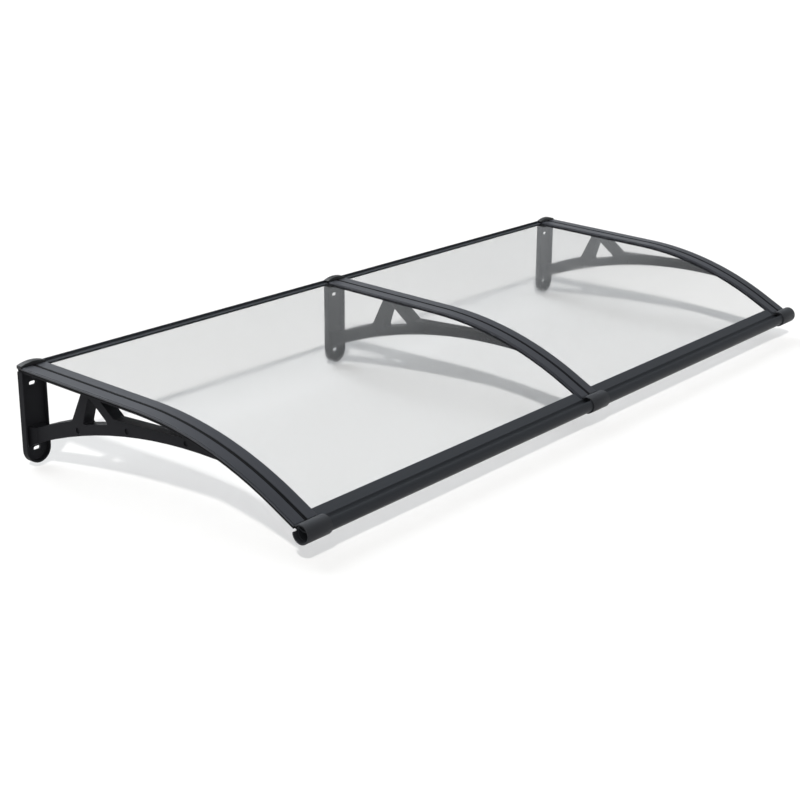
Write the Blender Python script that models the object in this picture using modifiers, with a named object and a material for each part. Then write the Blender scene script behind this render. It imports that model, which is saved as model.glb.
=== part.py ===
"""Door canopy: three wall brackets carry two clear sheets under curved cover strips.

Metres, +Z up. The wall is the plane Y = 0 and the canopy reaches out towards -Y.
The origin is on the wall face of the centre bracket, midway between its two screw slots.

Most places are given in canopy coordinates: "run" is the distance from the wall along the
upper face of the sheet, and "offset" is the height above that face, square to it.
"""

import math

import bmesh
import bpy
from mathutils import Matrix, Vector

# Clearance left between two pieces that touch
GAP = 0.0003

# Canopy curve, on the upper face of the sheet: straight, then bent, then straight again
BRACKET_PITCH = 1.0
SHEET_TOP_AT_WALL = 0.1131
REAR_SLOPE = math.radians(2.75)
FRONT_SLOPE = math.radians(28.75)
REAR_RUN = 0.371
BEND_RADIUS = 0.877
BEND_STEPS = 12

# Clear sheets
SHEET_THICKNESS = 0.003
SHEET_WALL_SPACE = 0.0047
SHEET_JOINT = 0.006

# Bracket: flange under the sheet with a deeper rib along its middle
FLANGE_WIDTH = 0.060
FLANGE_THICKNESS = 0.003
RIB_DEPTH = 0.003
ARM_THICKNESS = 0.030
EDGE_CHAMFER = 0.001

# Bracket: wall plate, a tray with a round foot
PLATE_WIDTH = 0.065
PLATE_DEPTH = 0.0173
PLATE_FLOOR = 0.0085
PLATE_RIM = 0.004
SLOT_SPACING = 0.150
SLOT_LENGTH = 0.018
SLOT_HEIGHT = 0.0085
CORE_DEPTH = 0.0045
CORE_LAND = 0.034
CORE_RIM = 0.008
CORE_PAST_SLOT = 0.013

# Bracket: curved lower arm and its two legs
ARM_CREST_OUT = 0.512
ARM_CREST_HEIGHT = 0.0384
ARM_RADIUS = 1.274
ARM_DEPTH = 0.035
ROOT_WIDTH = 0.046
ROOT_REACH = 0.034
ROOT_RISE = 0.010
ROOT_DROP = 0.003
WALL_LEG_TOP = 0.188
WALL_LEG_FOOT = 0.152
WINDOW_WALL_FOOT = 0.187
WINDOW_FRONT_FOOT = 0.270
WINDOW_APEX = 0.209
WINDOW_SILL = 0.024
WINDOW_HEAD = 0.005
FRONT_LEG_TOP = 0.240
FRONT_LEG_FOOT = 0.286
FRONT_LEG_FOOT_HEIGHT = 0.0544
FRONT_BAY_END = 0.533
ARM_CORE_WIDTH = 0.020
ARM_CORE_DEPTH = 0.016
ARM_CORE_STARTS = (0.062, 0.160, 0.258, 0.356, 0.454)
ARM_CORE_LENGTH = 0.092
SIDE_DIMPLE_DIAMETER = 0.013
SIDE_DIMPLE_DEPTH = 0.003
SIDE_DIMPLES = (0.170, 0.326, 0.500)

# Gasket on the bracket flange
GASKET_WIDTH = 0.056
GASKET_THICKNESS = 0.001

# Cover strip: two raised bands beside a groove, and a hollow underside
STRIP_WIDTH = 0.068
STRIP_HEIGHT = 0.005
STRIP_WALL = 0.0018
STRIP_LEG = 0.003
STRIP_STEP_WIDTH = 0.0025
STRIP_STEP_DROP = 0.0016
STRIP_EDGE = 0.0005
GROOVE_WIDTH = 0.009
GROOVE_FLOOR = 0.0016
SEAL_WIDTH = 0.008
SEAL_INSET = 0.004
INSERT_THICKNESS = 0.0011
INSERT_RECESS = 0.0006

# Screws
SHANK_DIAMETER = 0.004
SCREW_HOLE = 0.0046
STRIP_SCREWS = 4
FIRST_STRIP_SCREW = 0.045
LAST_STRIP_SCREW_TO_BAR = 0.1115
STRIP_SCREW_HEAD = 0.0076
STRIP_SCREW_HEAD_HEIGHT = 0.0011
STRIP_SCREW_TIP = 0.001
CLIP_SCREW_HEAD = 0.008
CLIP_SCREW_HEAD_HEIGHT = 0.0024
CLIP_SCREW_SPREAD = 0.024

# Front rail: lips that hold the sheet, a gutter and a hollow round nose
BAR_RUN = 0.8515
BAR_OFFSET = -0.001
BAR_RADIUS = 0.0175
BAR_WALL = 0.002
BAR_CREST_ANGLE = math.radians(83)
LIP_REACH = 0.0416
LIP_THICKNESS = 0.0017
LOWER_LIP_REACH = 0.038
GUTTER_START = 0.017
GUTTER_RADIUS = 0.0122
SLOT_END = 0.019
RAIL_NOTCH = 0.0213
RAIL_END_INSET = 0.012
RAIL_JOINT = 0.0006

# Front clip: an open ring round the bar and a tongue under the flange
CLIP_LENGTH = 0.070
CLIP_WALL = 0.003
CLIP_MOUTH_ANGLE = math.radians(165)
TONGUE_WIDTH = 0.044
TONGUE_THICKNESS = 0.003
TONGUE_REACH = 0.052
FLANGE_END = 0.022
STRIP_END = 0.0216

# Rear rail and wall seal
RAIL_BACK = 0.0024
RAIL_WALL = 0.002
REAR_LIP_REACH = 0.0173
REAR_FIN_HEIGHT = 0.0073
REAR_LIP_THICKNESS = 0.0017
WALL_SEAL_THICKNESS = 0.0018

# Rear cap: an arched cover over the head of each bracket
CAP_BACK = 0.001
CAP_SIDE_HEIGHT = 0.0078
CAP_CROWN_HEIGHT = 0.0138
CAP_WALL = 0.002
CAP_TAB_WIDTH = 0.010
CAP_TAB_PLACE = 0.014
CAP_TAB_LENGTH = 0.014
CAP_TAB_THICKNESS = 0.0023

# Heights of the layers, as offsets from the upper face of the sheet
GASKET_TOP = -SHEET_THICKNESS - GAP
FLANGE_TOP = GASKET_TOP - GASKET_THICKNESS - GAP
FLANGE_UNDER = FLANGE_TOP - FLANGE_THICKNESS
RIB_UNDER = FLANGE_UNDER - RIB_DEPTH
BRACKET_PLACES = {"left": -BRACKET_PITCH, "centre": 0.0, "right": BRACKET_PITCH}

for old in list(bpy.data.objects):
    bpy.data.objects.remove(old)

collection = bpy.data.collections.new("door_canopy")
bpy.context.scene.collection.children.link(collection)


def paint(name, colour, roughness, metallic=0.0, alpha=1.0):
    """A Principled material from an sRGB-like colour, roughness and metallic value."""
    material = bpy.data.materials.new(name)
    material.use_nodes = True
    shader = material.node_tree.nodes["Principled BSDF"]
    shader.inputs["Base Color"].default_value = (*colour, 1.0)
    shader.inputs["Roughness"].default_value = roughness
    shader.inputs["Metallic"].default_value = metallic
    shader.inputs["Alpha"].default_value = alpha
    material.diffuse_color = (*colour, alpha)
    return material


CAST_BLACK = paint("cast_black", (0.012, 0.012, 0.013), 0.55)
EXTRUDED_BLACK = paint("extruded_black", (0.045, 0.048, 0.053), 0.42)
CLEAR_SHEET = paint("clear_sheet", (0.80, 0.82, 0.84), 0.05, alpha=0.25)
RUBBER = paint("rubber", (0.010, 0.010, 0.010), 0.85)
CAP_PLASTIC = paint("cap_plastic", (0.030, 0.031, 0.033), 0.5)
SCREW_STEEL = paint("screw_steel", (0.35, 0.35, 0.36), 0.35, metallic=1.0)


def canopy_point(run, offset=0.0):
    """(distance from the wall, height) of a place given in canopy coordinates."""
    bend = FRONT_SLOPE - REAR_SLOPE
    turned = min(max((run - REAR_RUN) / BEND_RADIUS, 0.0), bend)
    slope = REAR_SLOPE + turned
    before = min(run, REAR_RUN)
    after = max(run - REAR_RUN - BEND_RADIUS * bend, 0.0)
    out = before * math.cos(REAR_SLOPE)
    height = SHEET_TOP_AT_WALL - before * math.sin(REAR_SLOPE)
    out += BEND_RADIUS * (math.sin(slope) - math.sin(REAR_SLOPE))
    height -= BEND_RADIUS * (math.cos(REAR_SLOPE) - math.cos(slope))
    out += after * math.cos(FRONT_SLOPE) + offset * math.sin(slope)
    height += offset * math.cos(slope) - after * math.sin(FRONT_SLOPE)
    return out, height


def canopy_slope(run):
    turned = min(max((run - REAR_RUN) / BEND_RADIUS, 0.0), FRONT_SLOPE - REAR_SLOPE)
    return REAR_SLOPE + turned


def canopy_frame(run, offset=0.0, x=0.0):
    """A placement whose Z is square to the sheet and whose -Y points outwards along it."""
    out, height = canopy_point(run, offset)
    return Matrix.Translation((x, -out, height)) @ Matrix.Rotation(canopy_slope(run), 4, "X")


def run_at(out, offset):
    """The run at which the canopy, at this offset, is this far from the wall."""
    low, high = 0.0, BAR_RUN
    for _ in range(40):
        middle = (low + high) / 2
        if canopy_point(middle, offset)[0] < out:
            low = middle
        else:
            high = middle
    return low


def stations(start, end):
    """Runs from start to end, with every step of the bend that lies between them."""
    bend_length = BEND_RADIUS * (FRONT_SLOPE - REAR_SLOPE)
    bends = [REAR_RUN + bend_length * step / BEND_STEPS for step in range(BEND_STEPS + 1)]
    return [start] + [run for run in bends if start + GAP < run < end - GAP] + [end]


def canopy_band(start, end, low, high):
    """Side outline of a layer that follows the canopy between two runs and two offsets."""
    runs = stations(start, end)
    return [canopy_point(run, high) for run in runs] + [canopy_point(run, low) for run in reversed(runs)]


def arc(centre, radius, start, end, steps):
    """Points of an arc, from one angle to another."""
    angles = [start + (end - start) * step / steps for step in range(steps + 1)]
    return [(centre[0] + radius * math.cos(a), centre[1] + radius * math.sin(a)) for a in angles]


def rounded(corners, steps=4):
    """An outline whose corners, given as (x, y, radius), are rounded where the radius isn't 0."""
    outline = []
    for index, (x, y, radius) in enumerate(corners):
        corner = Vector((x, y))
        if not radius:
            outline.append((x, y))
            continue
        back = (Vector(corners[index - 1][:2]) - corner).normalized()
        on = (Vector(corners[(index + 1) % len(corners)][:2]) - corner).normalized()
        half = back.angle(on) / 2
        centre = corner + (back + on).normalized() * (radius / math.sin(half))
        spoke = corner + back * (radius / math.tan(half)) - centre
        turn = math.copysign(math.pi - 2 * half, back.x * on.y - back.y * on.x)
        for step in range(steps + 1):
            outline.append(tuple(centre + Matrix.Rotation(-turn * step / steps, 2) @ spoke))
    return outline


def area_of(outline):
    ends = outline[1:] + outline[:1]
    return sum(a[0] * b[1] - b[0] * a[1] for a, b in zip(outline, ends)) / 2


def to_mesh(obj):
    """Replace an object by one that holds its evaluated mesh, welded, with its faces outwards."""
    bpy.context.view_layer.update()
    evaluated = obj.evaluated_get(bpy.context.evaluated_depsgraph_get())
    mesh = bpy.data.meshes.new_from_object(evaluated)
    name = obj.name
    solid = bpy.data.objects.new(name, mesh)
    solid.matrix_world = obj.matrix_world
    collection.objects.link(solid)
    bpy.data.objects.remove(obj)
    solid.name = mesh.name = name
    shape = bmesh.new()
    shape.from_mesh(mesh)
    bmesh.ops.remove_doubles(shape, verts=shape.verts, dist=0.000005)
    bmesh.ops.recalc_face_normals(shape, faces=shape.faces)
    shape.to_mesh(mesh)
    shape.free()
    return solid


def extruded(name, loops, thickness, placement, chamfer=0.0):
    """A solid from a flat outline and the holes inside it, centred on the placement's plane."""
    curve = bpy.data.curves.new(name, "CURVE")
    curve.dimensions = "2D"
    curve.fill_mode = "BOTH"
    curve.extrude = thickness / 2 - chamfer
    curve.bevel_depth = chamfer
    curve.bevel_resolution = 0
    curve.offset = -chamfer
    for index, loop in enumerate(loops):
        outward = area_of(loop) > 0
        points = loop if outward == (index == 0) else loop[::-1]
        spline = curve.splines.new("POLY")
        spline.points.add(len(points) - 1)
        for point, (x, y) in zip(spline.points, points):
            point.co = (x, y, 0.0, 1.0)
        spline.use_cyclic_u = True
    obj = bpy.data.objects.new(name, curve)
    obj.matrix_world = placement
    collection.objects.link(obj)
    return to_mesh(obj)


def side_solid(name, loops, x_low, x_high, chamfer=0.0):
    """A solid from side outlines of (distance from the wall, height), between two X values."""
    axes = Matrix(((0, 0, -1), (-1, 0, 0), (0, 1, 0))).to_4x4()
    place = Matrix.Translation(((x_low + x_high) / 2, 0.0, 0.0)) @ axes
    return extruded(name, loops, x_high - x_low, place, chamfer)


def front_solid(name, loops, back, front, frame=None, chamfer=0.0):
    """A solid from outlines seen from the front, between two distances along a frame's -Y."""
    place = Matrix.Translation((0.0, -(back + front) / 2, 0.0)) @ Matrix.Rotation(math.pi / 2, 4, "X")
    return extruded(name, loops, front - back, (frame or Matrix.Identity(4)) @ place, chamfer)


def swept(name, outline, start, end, offset, x):
    """A solid whose cross-section follows the canopy between two runs."""
    section = bpy.data.curves.new(name + "_section", "CURVE")
    section.dimensions = "2D"
    ring = section.splines.new("POLY")
    ring.points.add(len(outline) - 1)
    for point, (across, up) in zip(ring.points, outline):
        point.co = (across, up, 0.0, 1.0)
    ring.use_cyclic_u = True
    section_object = bpy.data.objects.new(name + "_section", section)
    collection.objects.link(section_object)
    path = bpy.data.curves.new(name, "CURVE")
    path.dimensions = "3D"
    path.twist_mode = "Z_UP"
    path.bevel_mode = "OBJECT"
    path.bevel_object = section_object
    path.use_fill_caps = True
    runs = stations(start, end)
    line = path.splines.new("POLY")
    line.points.add(len(runs) - 1)
    for point, run in zip(line.points, runs):
        out, height = canopy_point(run, offset)
        point.co = (0.0, -out, height, 1.0)
    obj = bpy.data.objects.new(name, path)
    obj.location.x = x
    collection.objects.link(obj)
    solid = to_mesh(obj)
    bpy.data.objects.remove(section_object)
    return solid


def box(name, size, frame):
    """A box of the given size, centred on a frame."""
    bpy.ops.mesh.primitive_cube_add(size=1)
    obj = bpy.context.object
    obj.name = name
    obj.data.transform(Matrix.Diagonal((*size, 1.0)))
    obj.matrix_world = frame
    return obj


def rod(name, diameter, length, frame, sides=16):
    """A cylinder along a frame's Z, centred on it."""
    bpy.ops.mesh.primitive_cylinder_add(vertices=sides, radius=diameter / 2, depth=length)
    obj = bpy.context.object
    obj.name = name
    obj.matrix_world = frame
    return obj


def combine(target, tool, operation):
    """Join a tool to a solid, or cut it away, and remove the tool."""
    modifier = target.modifiers.new("Boolean", "BOOLEAN")
    modifier.operation = operation
    modifier.solver = "EXACT"
    modifier.object = tool
    solid = to_mesh(target)
    bpy.data.objects.remove(tool)
    return solid


def finish(obj, material):
    """Give a solid its material and smooth its round faces."""
    obj.data.materials.clear()
    obj.data.materials.append(material)
    obj.data.shade_smooth()
    obj.data.set_sharp_from_angle(angle=math.radians(30))
    return obj


def copied(obj, name, frame):
    """Another object with the same mesh, moved by a frame."""
    twin = bpy.data.objects.new(name, obj.data)
    twin.matrix_world = frame @ obj.matrix_world
    collection.objects.link(twin)
    return twin


def three_copies(obj, stem):
    """One named object at each bracket, made from the one at the centre."""
    for side, x in BRACKET_PLACES.items():
        if side != "centre":
            copied(obj, f"{stem}_{side}", Matrix.Translation((x, 0.0, 0.0)))
    obj.name = f"{stem}_centre"


def strip_screw_runs():
    """Where the cover strip is screwed down, as runs."""
    step = (BAR_RUN - LAST_STRIP_SCREW_TO_BAR - FIRST_STRIP_SCREW) / (STRIP_SCREWS - 1)
    return [FIRST_STRIP_SCREW + step * index for index in range(STRIP_SCREWS)]


def clip_screw_run():
    """The clip's screws are midway along the part of the tongue that lies under the flange."""
    return BAR_RUN - (TONGUE_REACH + FLANGE_END) / 2


# Bracket

def arm_low(out):
    """Height of the arm's lower edge at a distance from the wall."""
    return ARM_CREST_HEIGHT - ARM_RADIUS + math.sqrt(ARM_RADIUS**2 - (out - ARM_CREST_OUT) ** 2)


def rib_under(out):
    """Height of the underside of the rib at a distance from the wall."""
    return canopy_point(run_at(out, RIB_UNDER), RIB_UNDER)[1]


def arm_end_run():
    """The run at which the arm's lower edge meets the underside of the rib."""
    low, high = REAR_RUN, BAR_RUN
    for _ in range(40):
        middle = (low + high) / 2
        out, height = canopy_point(middle, RIB_UNDER)
        if height > arm_low(out):
            low = middle
        else:
            high = middle
    return low


def along_arm(start, end, rise, steps):
    """Points between two distances from the wall, a set height above the arm's lower edge."""
    places = [start + (end - start) * step / steps for step in range(steps + 1)]
    return [(out, arm_low(out) + rise) for out in places]


def wall_bay():
    """The opening between the wall plate, the rib, the first leg and the arm."""
    inside = PLATE_FLOOR - EDGE_CHAMFER
    arm_top = along_arm(WALL_LEG_FOOT, inside, ARM_DEPTH, 4)
    corners = [(inside, rib_under(inside), 0.0), (WALL_LEG_TOP, rib_under(WALL_LEG_TOP), 0.003)]
    corners.append((*arm_top[0], 0.014))
    corners += [(*point, 0.0) for point in arm_top[1:]]
    return rounded(corners)


def leg_window():
    """The three-cornered opening between the two legs."""
    apex_height = rib_under(WINDOW_APEX) - WINDOW_HEAD
    corners = [(WINDOW_APEX, apex_height, 0.004)]
    corners.append((WINDOW_FRONT_FOOT, arm_low(WINDOW_FRONT_FOOT) + WINDOW_SILL, 0.004))
    corners.append((WINDOW_WALL_FOOT, arm_low(WINDOW_WALL_FOOT) + WINDOW_SILL, 0.004))
    return rounded(corners, steps=3)


def front_bay():
    """The long opening in front of the second leg, closing to a tip where the arm meets the rib."""
    runs = stations(run_at(FRONT_LEG_TOP, RIB_UNDER), run_at(FRONT_BAY_END, RIB_UNDER))
    corners = [(*canopy_point(run, RIB_UNDER), 0.0) for run in runs]
    corners[0] = (*corners[0][:2], 0.003)
    corners[-1] = (*corners[-1][:2], 0.0012)
    corners.append((FRONT_LEG_FOOT, FRONT_LEG_FOOT_HEIGHT, 0.006))
    return rounded(corners, steps=3)


def web_outline():
    """Side outline of the rib and arm, before the openings are cut."""
    back = PLATE_FLOOR - 2 * EDGE_CHAMFER
    top = FLANGE_TOP - GAP
    rib_end = BAR_RUN - TONGUE_REACH - 2 * GAP
    joint = arm_end_run()
    outline = [canopy_point(run, top) for run in stations(run_at(back, top), rib_end)]
    outline += [canopy_point(run, RIB_UNDER) for run in reversed(stations(joint, rib_end))]
    return outline + along_arm(canopy_point(joint, RIB_UNDER)[0], back, 0.0, 14)[1:]


def plate_outline(inset, top):
    """Front outline of the wall plate: square head and half-round foot."""
    half = PLATE_WIDTH / 2 - inset
    foot = arc((0.0, -SLOT_SPACING / 2), half, math.pi, 2 * math.pi, 14)
    return [(half, top), (-half, top)] + foot


def bracket():
    """One casting: wall plate, flange with its rib, arched arm and two legs."""
    plate_top = canopy_point(PLATE_DEPTH, FLANGE_UNDER + FLANGE_THICKNESS / 2)[1]
    body = front_solid("bracket", [plate_outline(0.0, plate_top)], 0.0, PLATE_DEPTH, chamfer=EDGE_CHAMFER)
    tray_top = plate_top - PLATE_RIM
    tray = front_solid("tray", [plate_outline(PLATE_RIM, tray_top)], PLATE_FLOOR, PLATE_DEPTH + 0.01)
    body = combine(body, tray, "DIFFERENCE")
    for side in (1, -1):
        low = side * CORE_LAND / 2
        high = side * (SLOT_SPACING / 2 + CORE_PAST_SLOT)
        half = PLATE_WIDTH / 2 - CORE_RIM
        outline = rounded([(-half, low, 0.006), (half, low, 0.006), (half, high, 0.006), (-half, high, 0.006)])
        body = combine(body, front_solid("core", [outline], -0.01, CORE_DEPTH), "DIFFERENCE")
    half = ARM_THICKNESS / 2
    web = side_solid("web", [web_outline(), wall_bay(), leg_window(), front_bay()], -half, half)
    body = combine(body, web, "UNION")
    body = combine(body, root_flare(), "UNION")
    flange_band = canopy_band(0.0015, BAR_RUN - FLANGE_END, FLANGE_UNDER, FLANGE_TOP)
    flange = side_solid("flange", [flange_band], -FLANGE_WIDTH / 2, FLANGE_WIDTH / 2)
    body = combine(body, flange, "UNION")
    body = cut_bracket_holes(body)
    return finish(body, CAST_BLACK)


def root_flare():
    """The arm's root, which widens and rises towards the wall plate."""
    bpy.ops.mesh.primitive_cube_add(size=1)
    flare = bpy.context.object
    for vertex in flare.data.vertices:
        across, along, up = (math.copysign(1.0, value) for value in vertex.co)
        out = PLATE_FLOOR - EDGE_CHAMFER if along > 0 else ROOT_REACH
        half = (ROOT_WIDTH if along > 0 else ARM_THICKNESS - 2 * EDGE_CHAMFER) / 2
        if along > 0:
            height = arm_low(out) + (ARM_DEPTH + ROOT_RISE if up > 0 else -ROOT_DROP)
        else:
            height = arm_low(out) + (ARM_DEPTH - EDGE_CHAMFER if up > 0 else EDGE_CHAMFER)
        vertex.co = (across * half, -out, height)
    return flare


def cut_bracket_holes(body):
    """Cut the wall slots, the tapped holes, the cores under the arm and the dimples in its sides."""
    for height in (SLOT_SPACING / 2, -SLOT_SPACING / 2):
        reach = (SLOT_LENGTH - SLOT_HEIGHT) / 2
        ends = arc((reach, height), SLOT_HEIGHT / 2, -math.pi / 2, math.pi / 2, 8)
        ends += arc((-reach, height), SLOT_HEIGHT / 2, math.pi / 2, 3 * math.pi / 2, 8)
        body = combine(body, front_solid("slot", [ends], -0.01, PLATE_DEPTH + 0.01), "DIFFERENCE")
    tapped_end = RIB_UNDER + STRIP_SCREW_TIP - GAP
    for run in strip_screw_runs():
        frame = canopy_frame(run, FLANGE_TOP + GAP + (tapped_end - FLANGE_TOP - GAP) / 2)
        body = combine(body, rod("tap", SCREW_HOLE, FLANGE_TOP + GAP - tapped_end, frame, 12), "DIFFERENCE")
    for side in (1, -1):
        frame = canopy_frame(clip_screw_run(), (FLANGE_TOP + FLANGE_UNDER) / 2, side * CLIP_SCREW_SPREAD / 2)
        body = combine(body, rod("tap", SCREW_HOLE, 3 * FLANGE_THICKNESS, frame, 12), "DIFFERENCE")
    for start in ARM_CORE_STARTS:
        top = along_arm(start, start + ARM_CORE_LENGTH, ARM_CORE_DEPTH, 3)
        low = along_arm(start, start + ARM_CORE_LENGTH, -0.01, 1)
        core = side_solid("core", [top + low[::-1]], -ARM_CORE_WIDTH / 2, ARM_CORE_WIDTH / 2)
        body = combine(body, core, "DIFFERENCE")
    turned = Matrix.Rotation(math.pi / 2, 4, "Y")
    for out in SIDE_DIMPLES:
        for side in (1, -1):
            place = Matrix.Translation((side * ARM_THICKNESS / 2, -out, arm_low(out) + WINDOW_SILL / 2))
            dimple = rod("dimple", SIDE_DIMPLE_DIAMETER, 2 * SIDE_DIMPLE_DEPTH, place @ turned)
            body = combine(body, dimple, "DIFFERENCE")
    return body


three_copies(bracket(), "bracket")


# Clear sheets and what lies between them and the brackets

SHEET_END = BAR_RUN - SLOT_END - GAP
for side, sign in (("left", -1), ("right", 1)):
    inner = sign * SHEET_JOINT / 2
    outer = sign * (BRACKET_PITCH - SHEET_JOINT / 2)
    sheet_band = canopy_band(SHEET_WALL_SPACE, SHEET_END, -SHEET_THICKNESS, 0.0)
    sheet = side_solid(f"sheet_{side}", [sheet_band], min(inner, outer), max(inner, outer))
    finish(sheet, CLEAR_SHEET)
    inner = sign * (BRACKET_PITCH + SHEET_JOINT / 2)
    outer = sign * (BRACKET_PITCH + STRIP_WIDTH / 2 - 2 * STRIP_EDGE)
    filler = side_solid(f"edge_filler_{side}", [sheet_band], min(inner, outer), max(inner, outer))
    finish(filler, RUBBER)


def gasket():
    """A flat gasket between the bracket's flange and the sheets, pierced for the screws."""
    band = canopy_band(PLATE_DEPTH, BAR_RUN - FLANGE_END, GASKET_TOP - GASKET_THICKNESS, GASKET_TOP)
    tape = side_solid("sheet_gasket", [band], -GASKET_WIDTH / 2, GASKET_WIDTH / 2)
    for run in strip_screw_runs():
        punch = rod("punch", SCREW_HOLE, 0.01, canopy_frame(run, GASKET_TOP), 12)
        tape = combine(tape, punch, "DIFFERENCE")
    return finish(tape, RUBBER)


three_copies(gasket(), "sheet_gasket")


# Cover strips

def strip_section():
    """Cross-section of the cover strip, from its underside up: bands, groove, steps and legs."""
    half = STRIP_WIDTH / 2
    step = half - STRIP_STEP_WIDTH
    low_top = STRIP_HEIGHT - STRIP_STEP_DROP
    groove = GROOVE_WIDTH / 2
    right = [(groove, GROOVE_FLOOR), (groove, STRIP_HEIGHT - STRIP_EDGE), (groove + STRIP_EDGE, STRIP_HEIGHT)]
    right += [(step - STRIP_EDGE, STRIP_HEIGHT), (step, STRIP_HEIGHT - STRIP_EDGE), (step, low_top)]
    right += [(half - STRIP_EDGE, low_top), (half, low_top - STRIP_EDGE), (half, 0.0)]
    right += [(half - STRIP_LEG, 0.0), (half - STRIP_LEG, STRIP_HEIGHT - STRIP_WALL)]
    right += [(groove + STRIP_WALL, STRIP_HEIGHT - STRIP_WALL), (groove + STRIP_WALL, 0.0)]
    return right + [(-x, y) for x, y in reversed(right)]


def rectangle(x_low, x_high, y_low, y_high):
    return [(x_low, y_low), (x_high, y_low), (x_high, y_high), (x_low, y_high)]


STRIP_START = PLATE_DEPTH + GAP
STRIP_STOP = BAR_RUN - STRIP_END


def cover_strip():
    strip = swept("cover_strip", strip_section(), STRIP_START, STRIP_STOP, GAP, 0.0)
    for run in strip_screw_runs():
        drill = rod("drill", SCREW_HOLE, 0.004, canopy_frame(run, GAP), 12)
        strip = combine(strip, drill, "DIFFERENCE")
    return finish(strip, EXTRUDED_BLACK)


three_copies(cover_strip(), "cover_strip")

insert_low = STRIP_HEIGHT - INSERT_RECESS - INSERT_THICKNESS
insert_half = GROOVE_WIDTH / 2 - GAP
insert_section = rectangle(-insert_half, insert_half, insert_low, insert_low + INSERT_THICKNESS)
groove_insert = swept("groove_insert", insert_section, STRIP_START, STRIP_STOP, GAP, 0.0)
three_copies(finish(groove_insert, RUBBER), "groove_insert")

seal_outer = STRIP_WIDTH / 2 - STRIP_LEG - SEAL_INSET
seal_section = rectangle(seal_outer - SEAL_WIDTH, seal_outer, 0.0, STRIP_HEIGHT - STRIP_WALL - GAP)
for place, sign in (("a", -1), ("b", 1)):
    section = [(sign * x, y) for x, y in seal_section]
    seal = swept("strip_seal", section, STRIP_START + CAP_TAB_LENGTH, STRIP_STOP, GAP, 0.0)
    three_copies(finish(seal, RUBBER), f"strip_seal_{place}")


# Screws

def turned_screw(head_diameter, head_height, length):
    """A screw turned about Z, its head's underside at the origin and its shank pointing down."""
    head, shank = head_diameter / 2, SHANK_DIAMETER / 2
    profile = [(0.0, head_height), (0.7 * head, head_height), (head, 0.5 * head_height), (head, 0.0)]
    profile += [(shank, 0.0), (shank, shank / 2 - length), (shank / 2, -length), (0.0, -length)]
    mesh = bpy.data.meshes.new("screw")
    mesh.from_pydata([(x, 0.0, z) for x, z in profile], [(i, i + 1) for i in range(len(profile) - 1)], [])
    obj = bpy.data.objects.new("screw", mesh)
    collection.objects.link(obj)
    turn = obj.modifiers.new("Screw", "SCREW")
    turn.steps = turn.render_steps = 12
    turn.use_merge_vertices = True
    turn.merge_threshold = 0.00001
    return finish(to_mesh(obj), SCREW_STEEL)


strip_screw_seat = 2 * GAP + GROOVE_FLOOR
strip_screw_length = strip_screw_seat - RIB_UNDER - STRIP_SCREW_TIP
strip_screw = turned_screw(STRIP_SCREW_HEAD, STRIP_SCREW_HEAD_HEIGHT, strip_screw_length)
for side, x in BRACKET_PLACES.items():
    for number, run in enumerate(strip_screw_runs(), 1):
        copied(strip_screw, f"strip_screw_{side}_{number}", canopy_frame(run, strip_screw_seat, x))
bpy.data.objects.remove(strip_screw)

TONGUE_TOP = FLANGE_UNDER - GAP
TONGUE_UNDER = TONGUE_TOP - TONGUE_THICKNESS
clip_screw_seat = TONGUE_UNDER - GAP
clip_screw_length = FLANGE_TOP - GAP - clip_screw_seat
clip_screw = turned_screw(CLIP_SCREW_HEAD, CLIP_SCREW_HEAD_HEIGHT, clip_screw_length)
for side, x in BRACKET_PLACES.items():
    for place, sign in (("a", -1), ("b", 1)):
        frame = canopy_frame(clip_screw_run(), clip_screw_seat, x + sign * CLIP_SCREW_SPREAD / 2)
        copied(clip_screw, f"clip_screw_{side}_{place}", frame @ Matrix.Rotation(math.pi, 4, "X"))
bpy.data.objects.remove(clip_screw)


# Front rail and clips

def at_bar(points):
    """Side outline points from (along the sheet, square to it) about the bar's centre."""
    return [canopy_point(BAR_RUN + along, BAR_OFFSET + up) for along, up in points]


def gutter_centre():
    """Centre of the gutter's arc, which joins the end of the top lip to the crest of the bar."""
    lip = Vector((-GUTTER_START, GAP - BAR_OFFSET + LIP_THICKNESS))
    crest = BAR_RADIUS * Vector((math.cos(BAR_CREST_ANGLE), math.sin(BAR_CREST_ANGLE)))
    chord = crest - lip
    rise = math.sqrt(GUTTER_RADIUS**2 - chord.length_squared / 4)
    return (lip + crest) / 2 + Vector((-chord.y, chord.x)).normalized() * rise


def angle_of(vector):
    return math.atan2(vector.y, vector.x)


def rail_outline():
    """Side outline of the front rail: lips, gutter and round nose."""
    top = GAP - BAR_OFFSET + LIP_THICKNESS
    slot_top = GAP - BAR_OFFSET
    slot_low = -SHEET_THICKNESS - GAP - BAR_OFFSET
    low = slot_low - LIP_THICKNESS
    centre = gutter_centre()
    start = angle_of(Vector((-GUTTER_START, top)) - centre)
    crest = BAR_RADIUS * Vector((math.cos(BAR_CREST_ANGLE), math.sin(BAR_CREST_ANGLE)))
    outline = [(-LIP_REACH, slot_top), (-LIP_REACH, top)]
    outline += arc(centre, GUTTER_RADIUS, start, angle_of(crest - centre), 8)
    nose_end = -math.pi - math.asin(low / BAR_RADIUS)
    outline += arc((0.0, 0.0), BAR_RADIUS, BAR_CREST_ANGLE, nose_end, 16)[1:]
    outline += [(-LOWER_LIP_REACH, low), (-LOWER_LIP_REACH, slot_low)]
    return outline + [(-SLOT_END, slot_low), (-SLOT_END, slot_top)]


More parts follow.
